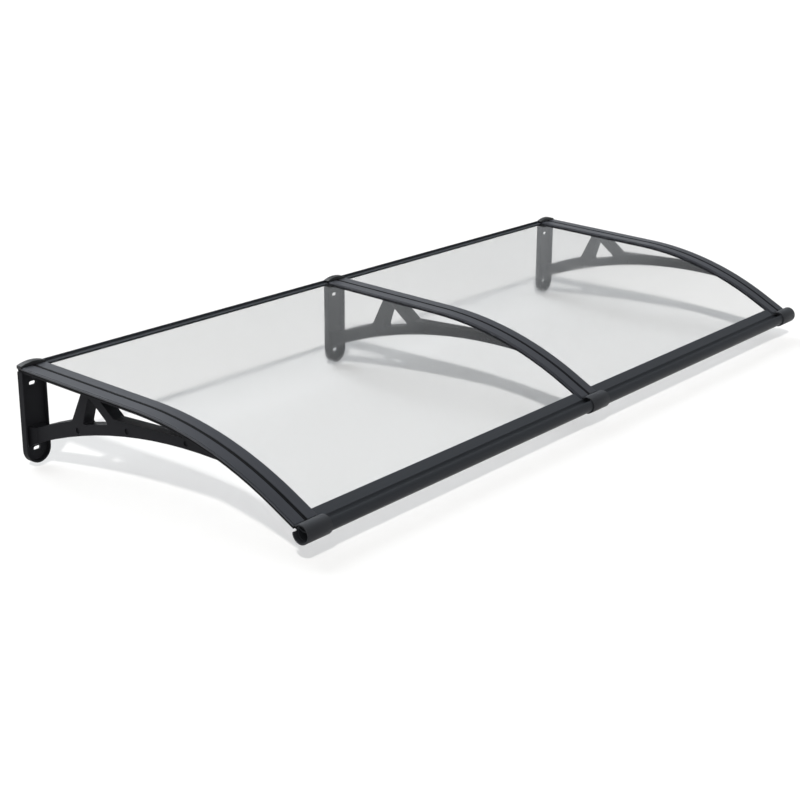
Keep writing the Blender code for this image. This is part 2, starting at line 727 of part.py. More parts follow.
def rail_hollow():
    """The space inside the bar, one wall in from its nose and from its gutter."""
    centre = gutter_centre()
    inner = BAR_RADIUS - BAR_WALL
    outer = GUTTER_RADIUS + BAR_WALL
    distance = centre.length
    along = (inner**2 - outer**2 + distance**2) / (2 * distance)
    across = math.sqrt(inner**2 - along**2)
    axis = centre.normalized()
    side = Vector((axis.y, -axis.x))
    crest = axis * along + side * across
    back = axis * along - side * across
    nose = arc((0.0, 0.0), inner, angle_of(crest), angle_of(back), 12)
    return nose + arc(centre, outer, angle_of(back - centre), angle_of(crest - centre), 6)[1:-1]


def front_rail(side, sign):
    """One length of front rail, its lips notched back where the cover strips come down."""
    inner = sign * RAIL_JOINT / 2
    outer = sign * (BRACKET_PITCH + CLIP_LENGTH / 2 - RAIL_END_INSET)
    loops = [at_bar(rail_outline()), at_bar(rail_hollow())]
    rail = side_solid(f"front_rail_{side}", loops, min(inner, outer), max(inner, outer))
    depth = 2 * LIP_REACH
    for x in (0.0, sign * BRACKET_PITCH):
        frame = canopy_frame(BAR_RUN - RAIL_NOTCH - depth / 2, BAR_OFFSET, x)
        notch = box("notch", (STRIP_WIDTH + 2 * GAP, depth, 2 * BAR_RADIUS), frame)
        rail = combine(rail, notch, "DIFFERENCE")
    return finish(rail, EXTRUDED_BLACK)


def front_clip():
    """An open ring that hooks round the bar, with a tongue that is screwed under the flange."""
    inner = BAR_RADIUS + GAP
    outer = inner + CLIP_WALL
    top, under = TONGUE_TOP - BAR_OFFSET, TONGUE_UNDER - BAR_OFFSET
    ring = arc((0.0, 0.0), outer, CLIP_MOUTH_ANGLE, -math.pi - math.asin(under / outer), 24)
    ring += arc((0.0, 0.0), inner, -math.pi - math.asin(top / inner), CLIP_MOUTH_ANGLE, 24)
    clip = side_solid("front_clip", [at_bar(ring)], -CLIP_LENGTH / 2, CLIP_LENGTH / 2)
    root = math.sqrt(outer**2 - top**2) - CLIP_WALL / 2
    tongue = at_bar(rectangle(-TONGUE_REACH, -root, under, top))
    clip = combine(clip, side_solid("tongue", [tongue], -TONGUE_WIDTH / 2, TONGUE_WIDTH / 2), "UNION")
    for sign in (1, -1):
        frame = canopy_frame(clip_screw_run(), TONGUE_TOP, sign * CLIP_SCREW_SPREAD / 2)
        clip = combine(clip, rod("drill", SCREW_HOLE, 4 * TONGUE_THICKNESS, frame, 12), "DIFFERENCE")
    return finish(clip, CAST_BLACK)


front_rail("left", -1)
front_rail("right", 1)
three_copies(front_clip(), "front_clip")


# Rear rail, wall seal and caps

def rear_rail_outline():
    """Side outline of the rear rail: a channel over the sheet's edge with a fin along the wall."""
    front = RAIL_BACK + RAIL_WALL
    low = -SHEET_THICKNESS - GAP
    lip_top = GAP + REAR_LIP_THICKNESS
    points = [(RAIL_BACK, low - REAR_LIP_THICKNESS), (RAIL_BACK, REAR_FIN_HEIGHT), (front, REAR_FIN_HEIGHT)]
    points += [(front, lip_top), (REAR_LIP_REACH, lip_top), (REAR_LIP_REACH, GAP), (front, GAP), (front, low)]
    points += [(REAR_LIP_REACH, low), (REAR_LIP_REACH, low - REAR_LIP_THICKNESS)]
    return [canopy_point(run, offset) for run, offset in points]


for side, sign in (("left", -1), ("right", 1)):
    ends = [sign * (STRIP_WIDTH / 2 + GAP), sign * (BRACKET_PITCH - STRIP_WIDTH / 2 - GAP)]
    rail = side_solid(f"rear_rail_{side}", [rear_rail_outline()], min(ends), max(ends))
    finish(rail, EXTRUDED_BLACK)
    low = SHEET_TOP_AT_WALL - SHEET_THICKNESS
    seal_outline = rectangle(0.0, WALL_SEAL_THICKNESS, low, low + REAR_FIN_HEIGHT)
    wall_seal = side_solid(f"wall_seal_{side}", [seal_outline], min(ends), max(ends))
    finish(wall_seal, RUBBER)


def cap_outline(inset):
    """Front outline of the rear cap: flat below, arched above."""
    half = STRIP_WIDTH / 2 - inset
    rise = CAP_CROWN_HEIGHT - CAP_SIDE_HEIGHT
    radius = (STRIP_WIDTH**2 / 4 + rise**2) / (2 * rise)
    reach = radius - inset
    spread = math.asin(half / reach)
    centre = (0.0, CAP_CROWN_HEIGHT - radius)
    base = GAP - (CAP_WALL if inset else 0.0)
    return [(-half, base), (half, base)] + arc(centre, reach, math.pi / 2 - spread, math.pi / 2 + spread, 12)


def rear_cap():
    """An arched cap, hollow below, with two tabs that slide into the end of the cover strip."""
    frame = canopy_frame(0.0)
    cap = front_solid("rear_cap", [cap_outline(0.0)], CAP_BACK, PLATE_DEPTH, frame, EDGE_CHAMFER)
    front = PLATE_DEPTH - CAP_WALL
    hollow = front_solid("hollow", [cap_outline(CAP_WALL)], CAP_BACK + CAP_WALL, front, frame)
    cap = combine(cap, hollow, "DIFFERENCE")
    for sign in (1, -1):
        x = sign * CAP_TAB_PLACE
        low = 2 * GAP
        tab_outline = rectangle(x - CAP_TAB_WIDTH / 2, x + CAP_TAB_WIDTH / 2, low, low + CAP_TAB_THICKNESS)
        tab_end = PLATE_DEPTH + CAP_TAB_LENGTH
        tab = front_solid("tab", [tab_outline], PLATE_DEPTH - CAP_WALL / 2, tab_end, frame)
        cap = combine(cap, tab, "UNION")
    return finish(cap, CAP_PLASTIC)


three_copies(rear_cap(), "rear_cap")
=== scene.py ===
# %% [markdown]
# # A clear door canopy on three wall brackets
#
# This canopy hangs over a door: black cast brackets carry two clear plastic sheets, black strips
# cover the joints, and a round rail with a gutter ends the sheets at the front. The script starts
# from the engineered solids, keeps those whose shape is right, models again those that have to be
# smoother or finer, and gives every piece a finish.

# %% Load the solids
import math

import bpy
from mathutils import Matrix, Vector


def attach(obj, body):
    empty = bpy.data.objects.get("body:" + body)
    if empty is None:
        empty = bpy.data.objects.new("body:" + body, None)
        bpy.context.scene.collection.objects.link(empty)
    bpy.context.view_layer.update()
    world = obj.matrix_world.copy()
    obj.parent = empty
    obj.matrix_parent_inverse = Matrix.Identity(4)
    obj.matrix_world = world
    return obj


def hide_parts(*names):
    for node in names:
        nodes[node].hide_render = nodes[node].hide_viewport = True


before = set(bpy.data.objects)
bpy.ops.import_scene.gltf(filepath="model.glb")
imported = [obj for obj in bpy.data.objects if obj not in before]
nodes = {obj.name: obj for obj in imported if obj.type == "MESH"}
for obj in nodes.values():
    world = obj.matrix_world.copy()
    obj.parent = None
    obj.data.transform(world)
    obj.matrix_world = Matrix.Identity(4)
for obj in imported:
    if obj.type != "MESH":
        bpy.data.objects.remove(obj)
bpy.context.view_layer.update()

# %% [markdown]
# ## The curve that everything follows
#
# The sheet leaves the wall almost level, bends down on one arc and runs straight into the front
# rail. Every layer, from the flange below to the cover strip above, is parallel to that line. So a
# place is given by its run, the distance along the sheet's upper face, and its offset, the height
# above that face. These are the same sizes as in the solids, in metres.

# %% Sizes of the arch
PITCH = 1.0
TOP_AT_WALL = 0.1131
REAR_SLOPE = math.radians(2.75)
FRONT_SLOPE = math.radians(28.75)
REAR_RUN = 0.371
BEND_RADIUS = 0.877
BEND = FRONT_SLOPE - REAR_SLOPE
GAP = 0.0003
SHEET = 0.003
BAR_RUN = 0.8515
BAR_OFFSET = -0.001


def slope_at(run):
    """How steeply the sheet falls, this far along it."""
    return REAR_SLOPE + min(max((run - REAR_RUN) / BEND_RADIUS, 0.0), BEND)


def on_arch(run, offset=0.0, x=0.0):
    """The place at a run and an offset."""
    slope = slope_at(run)
    before = min(run, REAR_RUN)
    after = max(run - REAR_RUN - BEND_RADIUS * BEND, 0.0)
    out = before * math.cos(REAR_SLOPE) + after * math.cos(FRONT_SLOPE) + offset * math.sin(slope)
    out += BEND_RADIUS * (math.sin(slope) - math.sin(REAR_SLOPE))
    height = TOP_AT_WALL - before * math.sin(REAR_SLOPE) - after * math.sin(FRONT_SLOPE)
    height += offset * math.cos(slope) - BEND_RADIUS * (math.cos(REAR_SLOPE) - math.cos(slope))
    return Vector((x, -out, height))


def frame_at(run, offset=0.0, x=0.0):
    """A placement whose Z is square to the sheet and whose -Y points down along it."""
    return Matrix.Translation(on_arch(run, offset, x)) @ Matrix.Rotation(slope_at(run), 4, "X")


# %% [markdown]
# ## Drawing an outline by hand
#
# An extruded rail starts as an outline. In edit mode a single point is extruded for each straight
# part and spun for each round part, which is how it would be drawn with the mouse. The outline is
# then filled and pulled out to its length.

# %% Helpers for outlines
def start_outline(name, y, z, x=0.0):
    """Begin an outline in the side plane and stay in edit mode with its first point selected."""
    bpy.ops.object.select_all(action="DESELECT")
    bpy.ops.mesh.primitive_plane_add(size=0.01)
    piece = bpy.context.object
    piece.name = piece.data.name = name
    bpy.ops.object.mode_set(mode="EDIT")
    bpy.ops.mesh.select_mode(type="VERT")
    bpy.ops.mesh.select_all(action="SELECT")
    bpy.ops.mesh.merge(type="CENTER")
    bpy.ops.transform.translate(value=(x, y, z))
    return piece


def line(y, z):
    """Extrude the last point by a step."""
    bpy.ops.mesh.extrude_region_move(TRANSFORM_OT_translate={"value": (0.0, y, z)})


def turn(centre_y, centre_z, angle, steps):
    """Spin the last point about a centre. A positive angle turns from +Y towards +Z."""
    centre = (0.0, centre_y, centre_z)
    bpy.ops.mesh.spin(steps=steps, angle=-angle, center=centre, axis=(1.0, 0.0, 0.0))


def fill_and_pull(length):
    """Close the outline, fill it, pull it out along X and go back to object mode."""
    bpy.ops.mesh.select_all(action="SELECT")
    bpy.ops.mesh.remove_doubles(threshold=0.00001)
    bpy.ops.mesh.edge_face_add()
    bpy.ops.mesh.extrude_region_move(TRANSFORM_OT_translate={"value": (length, 0.0, 0.0)})
    bpy.ops.mesh.select_all(action="SELECT")
    bpy.ops.mesh.normals_make_consistent(inside=False)
    bpy.ops.object.mode_set(mode="OBJECT")


# %% [markdown]
# ## Modifiers and places
#
# A modifier is added, set and applied at once, so that the next step works on a real mesh. A piece
# that is drawn about its own centre is put in its place at the end, and the place is written into
# its mesh, because each finished object stays at the origin.

# %% Helpers for modifiers and places
SHADE_ANGLE = math.radians(20)


def apply_modifier(piece, kind, **settings):
    """Add a modifier, set it and apply it."""
    bpy.ops.object.select_all(action="DESELECT")
    piece.select_set(True)
    bpy.context.view_layer.objects.active = piece
    modifier = piece.modifiers.new(kind.title(), kind)
    for key, value in settings.items():
        setattr(modifier, key, value)
    bpy.ops.object.modifier_apply(modifier=modifier.name)


def soften(piece, width, segments=2, angle=30.0):
    """Round the sharp edges of a piece and shade its round faces smoothly."""
    edges = {"width": width, "segments": segments, "angle_limit": math.radians(angle)}
    apply_modifier(piece, "BEVEL", use_clamp_overlap=True, **edges)
    bpy.ops.object.shade_smooth_by_angle(angle=SHADE_ANGLE)


def combine(piece, other, operation):
    """Cut another piece out of a piece, or join it on, and remove the other."""
    apply_modifier(piece, "BOOLEAN", operation=operation, solver="EXACT", object=other)
    bpy.data.objects.remove(other)


def box(size, place):
    """A box of a size at a place."""
    bpy.ops.object.select_all(action="DESELECT")
    bpy.ops.mesh.primitive_cube_add(size=1)
    piece = bpy.context.object
    piece.scale = size
    piece.location = place
    return piece


def put(piece, place):
    """Move a piece to its place and write that place into its mesh."""
    bpy.ops.object.select_all(action="DESELECT")
    piece.matrix_world = place
    piece.select_set(True)
    bpy.context.view_layer.objects.active = piece
    bpy.ops.object.transform_apply(location=True, rotation=True, scale=True)


# %% [markdown]
# ## The same piece at each bracket
#
# Strips, inserts, clips and caps come three times. Each is modelled once, at the middle bracket, and
# copied with its own mesh. The copies are made before the original gets its final name.

# %% Helper for copies
def along_wall(piece, stem, replaced):
    """Copies of a piece at the left and right brackets; each one stands for its own solid."""
    copies = {}
    for side, x in (("left", -PITCH), ("right", PITCH), ("centre", 0.0)):
        twin = piece
        if side != "centre":
            twin = piece.copy()
            twin.data = piece.data.copy()
            bpy.context.scene.collection.objects.link(twin)
            put(twin, Matrix.Translation((x, 0.0, 0.0)))
        twin.name = twin.data.name = f"{stem}_{side}"
        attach(twin, "root")
        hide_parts(f"{replaced}_{side}")
        copies[side] = twin
    print(stem, "faces each:", len(piece.data.polygons))
    return copies


# %% [markdown]
# ## The bending line
#
# A long thin piece is easiest to model flat and straight, and then to bend. The Curve modifier does
# that: the piece lies along X, and the modifier lays it along this line. The line itself is drawn
# with one straight run, one spin and one more straight run.

# %% Draw the bending line
BEND_STEPS = 96
LAST_RUN = 0.12
start_outline("bending_line", 0.0, TOP_AT_WALL)
line(-REAR_RUN * math.cos(REAR_SLOPE), -REAR_RUN * math.sin(REAR_SLOPE))
hub = on_arch(REAR_RUN, -BEND_RADIUS)
turn(hub.y, hub.z, BEND, BEND_STEPS)
line(-LAST_RUN * math.cos(FRONT_SLOPE), -LAST_RUN * math.sin(FRONT_SLOPE))
bpy.ops.object.mode_set(mode="OBJECT")
bpy.ops.object.convert(target="CURVE")
bending_line = bpy.context.object
bending_line.data.dimensions = "3D"
bending_line.data.twist_mode = "Z_UP"
bending_line.hide_render = True

# %% [markdown]
# ## Bending a straight piece
#
# The Curve modifier only moves the points that a mesh has. A piece with long faces is therefore cut
# across into short lengths first, with a bisect at each place.

# %% Helpers for bending
STRIP_LENGTHS = 64


def bend(piece):
    """Lay a straight piece along the arch. Its X becomes the run, its Y goes across."""
    apply_modifier(piece, "CURVE", object=bending_line, deform_axis="POS_X")


def cut_across(piece, first, last):
    """Cut a straight piece into short lengths, so that it can bend."""
    bpy.ops.object.select_all(action="DESELECT")
    piece.select_set(True)
    bpy.context.view_layer.objects.active = piece
    bpy.ops.object.mode_set(mode="EDIT")
    for index in range(1, STRIP_LENGTHS):
        place = (first + (last - first) * index / STRIP_LENGTHS, 0.0, 0.0)
        bpy.ops.mesh.select_all(action="SELECT")
        bpy.ops.mesh.bisect(plane_co=place, plane_no=(1.0, 0.0, 0.0))
    bpy.ops.object.mode_set(mode="OBJECT")


# %% [markdown]
# ## Clear sheets
#
# The sheets are solid polycarbonate, 3 mm thick. Cold, such a sheet is flat, and it is bent over the
# brackets when the canopy is put up. It is modelled the same way: a flat grid gets its thickness and
# a small break on its cut edges, and is then bent on the line.

# %% Make the sheets
JOINT = 0.006
SHEET_START = 0.0047
SLOT_END = 0.019
SHEET_END = BAR_RUN - SLOT_END - GAP
SHEET_EDGE = 0.0003
SHEET_GRID = (120, 8)
sheet_length = SHEET_END - SHEET_START
sheet_width = PITCH - JOINT
clear_sheets = []
for side, sign in (("left", -1), ("right", 1)):
    bpy.ops.object.select_all(action="DESELECT")
    bpy.ops.mesh.primitive_grid_add(x_subdivisions=SHEET_GRID[0], y_subdivisions=SHEET_GRID[1], size=1)
    sheet = bpy.context.object
    sheet.name = sheet.data.name = f"clear_sheet_{side}"
    bpy.ops.object.mode_set(mode="EDIT")
    bpy.ops.mesh.select_all(action="SELECT")
    bpy.ops.transform.resize(value=(sheet_length, sheet_width, 1.0))
    bpy.ops.transform.translate(value=((SHEET_START + SHEET_END) / 2, sign * PITCH / 2, 0.0))
    bpy.ops.object.mode_set(mode="OBJECT")
    apply_modifier(sheet, "SOLIDIFY", thickness=SHEET, offset=-1.0)
    soften(sheet, SHEET_EDGE, 1)
    bend(sheet)
    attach(sheet, "root")
    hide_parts(f"sheet_{side}")
    clear_sheets.append(sheet)
print("sheet, flat, in mm:", round(1000 * sheet_width), "by", round(1000 * sheet_length))

# %% [markdown]
# ## Cover strips
#
# Each strip is an aluminium extrusion with two raised bands, a groove between them and a small step
# at each outer edge. The outline below goes round the whole section once, hollow underside included.
# Softened edges matter here, because the thin bright lines along the bands come from them.

# %% Draw the strip's section
STRIP_HALF = 0.034
STRIP_HEIGHT = 0.005
STRIP_WALL = 0.0018
STRIP_LEG = 0.003
STEP_WIDTH = 0.0025
STEP_DROP = 0.0016
GROOVE_HALF = 0.0045
GROOVE_FLOOR = 0.0016
CAP_FRONT = 0.0173
STRIP_START = CAP_FRONT + GAP
STRIP_SHORT = 0.0216
STRIP_STOP = BAR_RUN - STRIP_SHORT
STRIP_EDGE = 0.00045

under = STRIP_HEIGHT - STRIP_WALL
band = STRIP_HALF - STEP_WIDTH - GROOVE_HALF
hollow = STRIP_HALF - STRIP_LEG - GROOVE_HALF - STRIP_WALL
strip = start_outline("cover_band", GROOVE_HALF, GAP + GROOVE_FLOOR, STRIP_START)
line(0.0, STRIP_HEIGHT - GROOVE_FLOOR)
line(band, 0.0)
line(0.0, -STEP_DROP)
line(STEP_WIDTH, 0.0)
line(0.0, STEP_DROP - STRIP_HEIGHT)
line(-STRIP_LEG, 0.0)
line(0.0, under)
line(-hollow, 0.0)
line(0.0, -under)
line(-2 * (GROOVE_HALF + STRIP_WALL), 0.0)
line(0.0, under)
line(-hollow, 0.0)
line(0.0, -under)
line(-STRIP_LEG, 0.0)
line(0.0, STRIP_HEIGHT - STEP_DROP)
line(STEP_WIDTH, 0.0)
line(0.0, STEP_DROP)
line(band, 0.0)
line(0.0, GROOVE_FLOOR - STRIP_HEIGHT)
fill_and_pull(STRIP_STOP - STRIP_START)
soften(strip, STRIP_EDGE)
cut_across(strip, STRIP_START, STRIP_STOP)
bend(strip)
bpy.ops.object.shade_smooth_by_angle(angle=SHADE_ANGLE)
cover_strips = along_wall(strip, "cover_band", "cover_strip")

# %% [markdown]
# ## Groove inserts
#
# A rubber profile is pushed into the groove after the screws are in, and hides them. Its top is
# slightly crowned, with a thin valley on each side where it meets the metal.

# %% Make the inserts
INSERT_HALF = GROOVE_HALF - GAP
INSERT_DEPTH = 0.0017
INSERT_LOW = GAP + STRIP_HEIGHT - INSERT_DEPTH
INSERT_SIDE = 0.0006
CROWN = 0.0005
CROWN_STEPS = 10

crown_radius = (INSERT_HALF**2 + CROWN**2) / (2 * CROWN)
spread = math.asin(INSERT_HALF / crown_radius)
insert = start_outline("groove_rubber", -INSERT_HALF, INSERT_LOW, STRIP_START)
line(2 * INSERT_HALF, 0.0)
line(0.0, INSERT_SIDE)
turn(0.0, INSERT_LOW + INSERT_SIDE + CROWN - crown_radius, 2 * spread, CROWN_STEPS)
line(0.0, -INSERT_SIDE)
fill_and_pull(STRIP_STOP - STRIP_START)
cut_across(insert, STRIP_START, STRIP_STOP)
bend(insert)
bpy.ops.object.shade_smooth_by_angle(angle=SHADE_ANGLE)
groove_rubbers = along_wall(insert, "groove_rubber", "groove_insert")

# %% [markdown]
# ## Front rail
#
# One extrusion ends the sheet. Its two lips hold the sheet's edge, a gutter between the upper lip
# and the nose leads the rain to the sides, and the nose is a hollow tube. It is drawn about the
# tube's centre, with -Y pointing down along the sheet, and put in its place at the end. The hollow
# and the two notches for the strips are cut afterwards.

# %% Sizes of the front rail
BAR = 0.0175
BAR_WALL = 0.002
LIP_REACH = 0.0416
LIP = 0.0017
LOWER_LIP_REACH = 0.038
GUTTER_START = 0.017
GUTTER_RADIUS = 0.0122
NOTCH_END = 0.0213
NOTCH_LENGTH = 0.08
CREST_ANGLE = math.radians(83)
CLIP_LENGTH = 0.070
RAIL_END_INSET = 0.012
RAIL_EDGE = 0.0004
OVERSHOOT = 0.01

slot_top = GAP - BAR_OFFSET
slot_low = -SHEET - GAP - BAR_OFFSET
lip_top = slot_top + LIP
lip_low = slot_low - LIP
lip_end = Vector((GUTTER_START, lip_top))
crest = BAR * Vector((-math.cos(CREST_ANGLE), math.sin(CREST_ANGLE)))
chord = crest - lip_end
rise = math.sqrt(GUTTER_RADIUS**2 - chord.length_squared / 4)
gutter = (lip_end + crest) / 2 + Vector((chord.y, -chord.x)).normalized() * rise


def angle_from(centre, point):
    """Direction from a centre to a point, from +Y towards +Z."""
    return math.atan2(point[1] - centre[1], point[0] - centre[0])


def turned_left(centre, start, end):
    """The angle from one point to another about a centre, turned from +Y towards +Z."""
    return (angle_from(centre, end) - angle_from(centre, start)) % (2 * math.pi)


def turned_by(centre, start, end):
    """The same angle the short way round, whichever way that is."""
    return (turned_left(centre, start, end) + math.pi) % (2 * math.pi) - math.pi


print("gutter depth in mm:", round(1000 * (GUTTER_RADIUS - rise), 1))

# %% [markdown]
# ## The rail's outline
#
# The outline runs along the top of the upper lip, down through the gutter, round the nose and back
# along the lower lip and the slot for the sheet. Two spins make the gutter and the nose.

# %% Draw the rail
AXIS = (0.0, 0.0)
GUTTER_STEPS = 20
NOSE_STEPS = 56


def draw_rail(name, x, length):
    """The rail's outline, pulled out to a length."""
    rail = start_outline(name, LIP_REACH, slot_top, x)
    line(0.0, LIP)
    line(GUTTER_START - LIP_REACH, 0.0)
    turn(*gutter, turned_by(gutter, lip_end, crest), GUTTER_STEPS)
    rear_end = Vector((math.sqrt(BAR**2 - lip_low**2), lip_low))
    turn(*AXIS, turned_left(AXIS, crest, rear_end), NOSE_STEPS)
    line(LOWER_LIP_REACH - rear_end.x, 0.0)
    line(0.0, LIP)
    line(SLOT_END - LOWER_LIP_REACH, 0.0)
    line(0.0, slot_top - slot_low)
    fill_and_pull(length)
    return rail


# %% [markdown]
# ## The hollow in the nose
#
# The wall of the nose is 2 mm thick, below the gutter too. So the hollow is a circle about the
# nose's centre, met by a wider circle about the gutter's centre. The two places where they cross
# are worked out, and the cutter is drawn through both.

# %% Draw the hollow
HOLLOW_NOSE_STEPS = 40
HOLLOW_GUTTER_STEPS = 16


def hollow_cutter(x, length):
    """The space inside the nose: a circle, flattened where the gutter runs."""
    inner = BAR - BAR_WALL
    outer = GUTTER_RADIUS + BAR_WALL
    along = (inner**2 - outer**2 + gutter.length_squared) / (2 * gutter.length)
    across = math.sqrt(inner**2 - along**2)
    axis = gutter.normalized()
    side = Vector((-axis.y, axis.x))
    first = axis * along + side * across
    second = axis * along - side * across
    if first.x > second.x:
        first, second = second, first
    cutter = start_outline("hollow_cutter", first.x, first.y, x)
    turn(*AXIS, turned_left(AXIS, first, second), HOLLOW_NOSE_STEPS)
    turn(*gutter, turned_by(gutter, second, first), HOLLOW_GUTTER_STEPS)
    fill_and_pull(length)
    return cutter


# %% [markdown]
# ## The two lengths of rail
#
# The rail comes in two lengths that meet at the middle bracket. The lips are notched where a strip
# and its bracket pass, and each length ends a little inside its outer clip.

# %% Make the rails
front_rails = []
rail_length = PITCH + CLIP_LENGTH / 2 - RAIL_END_INSET - GAP
for side, sign in (("left", -1), ("right", 1)):
    low_x = GAP if sign > 0 else -GAP - rail_length
    rail = draw_rail(f"gutter_rail_{side}", low_x, rail_length)
    combine(rail, hollow_cutter(low_x - OVERSHOOT, rail_length + 2 * OVERSHOOT), "DIFFERENCE")
    for x in (0.0, sign * PITCH):
        notch_size = (2 * STRIP_HALF + 2 * GAP, NOTCH_LENGTH, 2 * BAR)
        combine(rail, box(notch_size, (x, NOTCH_END + NOTCH_LENGTH / 2, 0.0)), "DIFFERENCE")
    soften(rail, RAIL_EDGE, 2, 40.0)
    put(rail, frame_at(BAR_RUN, BAR_OFFSET))
    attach(rail, "root")
    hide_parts(f"front_rail_{side}")
    front_rails.append(rail)
print("each rail in mm:", round(1000 * rail_length), "faces:", len(rail.data.polygons))

# %% [markdown]
# ## Front clips
#
# A clip is a casting: an open ring that hooks round the rail's nose, and a tongue that is screwed
# under the bracket. The ring is one outline, spun out and back, and the tongue is joined to it.

# %% Make the clips
RING_INNER = BAR + GAP
RING_WALL = 0.003
RING_OUTER = RING_INNER + RING_WALL
RING_STEPS = 64
MOUTH = math.radians(15)
GASKET = 0.001
FLANGE = 0.003
FLANGE_END = 0.022
TONGUE = 0.003
TONGUE_WIDTH = 0.044
TONGUE_REACH = 0.052
TONGUE_OVERLAP = 0.0008
CLIP_SCREW_SIDE = 0.012
CLIP_SCREW_HOLE = 0.0023
SCREW_CUT = 0.02
CLIP_EDGE = 0.0006

tongue_top = -SHEET - 2 * GAP - GASKET - FLANGE - GAP - BAR_OFFSET
tongue_low = tongue_top - TONGUE
outer_mouth = RING_OUTER * Vector((math.cos(MOUTH), math.sin(MOUTH)))
inner_mouth = RING_INNER * Vector((math.cos(MOUTH), math.sin(MOUTH)))
outer_root = Vector((math.sqrt(RING_OUTER**2 - tongue_low**2), tongue_low))
inner_root = Vector((math.sqrt(RING_INNER**2 - tongue_top**2), tongue_top))

clip = start_outline("rail_clip", outer_mouth.x, outer_mouth.y, -CLIP_LENGTH / 2)
turn(*AXIS, turned_left(AXIS, outer_mouth, outer_root), RING_STEPS)
line(inner_root.x - outer_root.x, inner_root.y - outer_root.y)
turn(*AXIS, -turned_left(AXIS, inner_mouth, inner_root), RING_STEPS)
fill_and_pull(CLIP_LENGTH)
tongue_root = inner_root.x + TONGUE_OVERLAP
tongue_size = (TONGUE_WIDTH, TONGUE_REACH - tongue_root, TONGUE)
tongue_middle = (0.0, (TONGUE_REACH + tongue_root) / 2, (tongue_top + tongue_low) / 2)
combine(clip, box(tongue_size, tongue_middle), "UNION")

# %% [markdown]
# ## The clip's screw holes
#
# Two screws go up through the tongue into the bracket's flange. Each hole is a thin cylinder that
# is cut out of the tongue. Then the edges are rounded, as a cast edge is.

# %% Drill and finish the clips
screw_run = (TONGUE_REACH + FLANGE_END) / 2
for sign in (1, -1):
    bpy.ops.object.select_all(action="DESELECT")
    place = (sign * CLIP_SCREW_SIDE, screw_run, tongue_low)
    hole = {"vertices": 24, "radius": CLIP_SCREW_HOLE, "depth": SCREW_CUT}
    bpy.ops.mesh.primitive_cylinder_add(location=place, **hole)
    combine(clip, bpy.context.object, "DIFFERENCE")
soften(clip, CLIP_EDGE, 3, 40.0)
put(clip, frame_at(BAR_RUN, BAR_OFFSET))
rail_clips = along_wall(clip, "rail_clip", "front_clip")

# %% [markdown]
# ## Rear caps
#
# A moulded cap closes each strip at the wall. From the front it is a low arch. The outline is drawn
# as seen from the side plane and turned to face the front.

# %% Make the caps
CAP_SIDE = 0.0078
CAP_CROWN = 0.0138
CAP_BACK = 0.001
CAP_EDGE = 0.0012
CAP_STEPS = 32

cap_rise = CAP_CROWN - CAP_SIDE
cap_radius = (STRIP_HALF**2 + cap_rise**2) / (2 * cap_rise)
cap_spread = math.asin(STRIP_HALF / cap_radius)
cap = start_outline("wall_cap", -STRIP_HALF, GAP)
line(2 * STRIP_HALF, 0.0)
line(0.0, CAP_SIDE - GAP)
turn(0.0, CAP_CROWN - cap_radius, 2 * cap_spread, CAP_STEPS)
fill_and_pull(CAP_FRONT - CAP_BACK)
soften(cap, CAP_EDGE, 4, 40.0)
upright = Matrix.Translation((0.0, -CAP_BACK, 0.0)) @ Matrix.Rotation(-math.pi / 2, 4, "Z")
put(cap, frame_at(0.0) @ upright)
wall_caps = along_wall(cap, "wall_cap", "rear_cap")

# %% [markdown]
# ## Colours and nodes
#
# Colours are written as they look on a screen and are turned to the linear values that the shader
# wants. One small function adds a node, sets it and wires it. An input is given by its name, or by
# its number where names repeat: a Mix node takes its factor at 0 and its two colours at 6 and 7, and
# the mixed colour comes out at 2. On a Map Range node 1 and 2 are the lowest and highest value that
# come in, and 3 and 4 are what they become.

# %% Helpers for finishes
def linear(text):
    """A hex colour as linear red, green, blue and alpha."""
    values = [int(text[i : i + 2], 16) / 255 for i in (0, 2, 4)]
    return [v / 12.92 if v <= 0.04045 else ((v + 0.055) / 1.055) ** 2.4 for v in values] + [1.0]


def new_finish(name):
    """An empty node material, with its output."""
    finish = bpy.data.materials.new(name)
    finish.use_nodes = True
    finish.node_tree.nodes.clear()
    return finish, finish.node_tree.nodes.new("ShaderNodeOutputMaterial")


def add_node(finish, kind, inputs=None, **settings):
    """Add a node with its settings; an input is a value or the output that feeds it."""
    node = finish.node_tree.nodes.new("ShaderNode" + kind)
    for key, value in settings.items():
        setattr(node, key, value)
    for key, value in (inputs or {}).items():
        if isinstance(value, bpy.types.NodeSocket):
            finish.node_tree.links.new(value, node.inputs[key])
        else:
            node.inputs[key].default_value = value
    return node


def wear(piece, finish):
    """Give a piece one finish and the record's slot for it."""
    piece.data.materials.clear()
    piece.data.materials.append(finish)


# %% [markdown]
# ## Powder coat on cast aluminium
#
# The brackets and clips are cast aluminium under a matt black polyester powder coat. The powder
# melts into a skin with a fine orange peel about 1.5 mm across, which is 650 to the metre, and over
# the cast surface its sheen is slightly cloudy, with clouds 70 mm across. The edges of the real
# casting are rounded by the coat, which the Bevel node gives without changing the solid. The
# rounding is 0.9 mm on the brackets and 0.3 mm on the clips, whose edges are modelled round already.
# The clips are a little lighter than the brackets.

